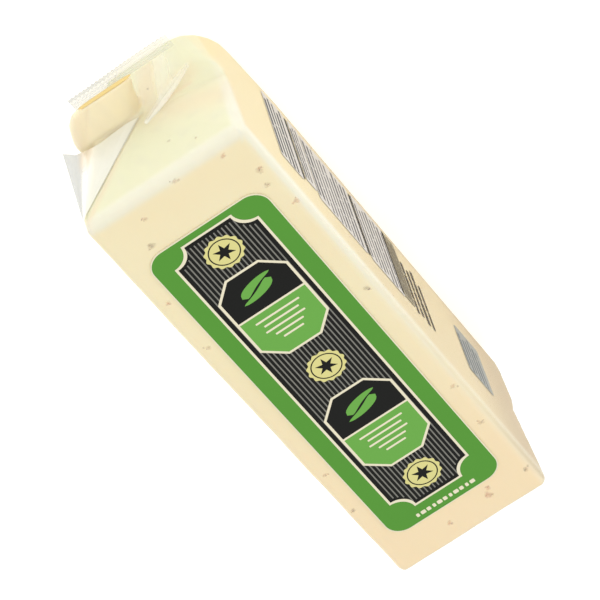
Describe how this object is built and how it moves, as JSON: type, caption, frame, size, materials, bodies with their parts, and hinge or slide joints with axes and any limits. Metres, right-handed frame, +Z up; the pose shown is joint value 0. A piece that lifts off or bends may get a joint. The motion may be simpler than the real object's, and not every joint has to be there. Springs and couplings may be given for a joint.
{
  "type": "hot pepper cheese loaf",
  "caption": "Long square loaf of pale processed cheese with pepper flecks in tight clear film, with a crimped seal at each end and a long green label.",
  "frame": {"origin": "on the surface under the middle of the loaf, which lies on its back with the label up", "axes": "+Z up out of the label, +Y along the loaf towards the end that the label's top points at, +X across it to the label's right"},
  "size_m": [0.084, 0.336, 0.0947],
  "materials": {
    "cheese": "pale cheese under tight clear film, satin with soft highlights along the edges",
    "clear_film": "thin clear film, crimped at the seal",
    "printed_label": "smooth printed film, green field with a cream border"
  },
  "bodies": {
    "root": {"wrapped_loaf": "cheese", "front_label": "printed_label", "end_seal_top": "clear_film", "end_seal_bottom": "clear_film", "film_ear_top": "clear_film", "film_ear_bottom": "clear_film"}
  },
  "joints": []
}
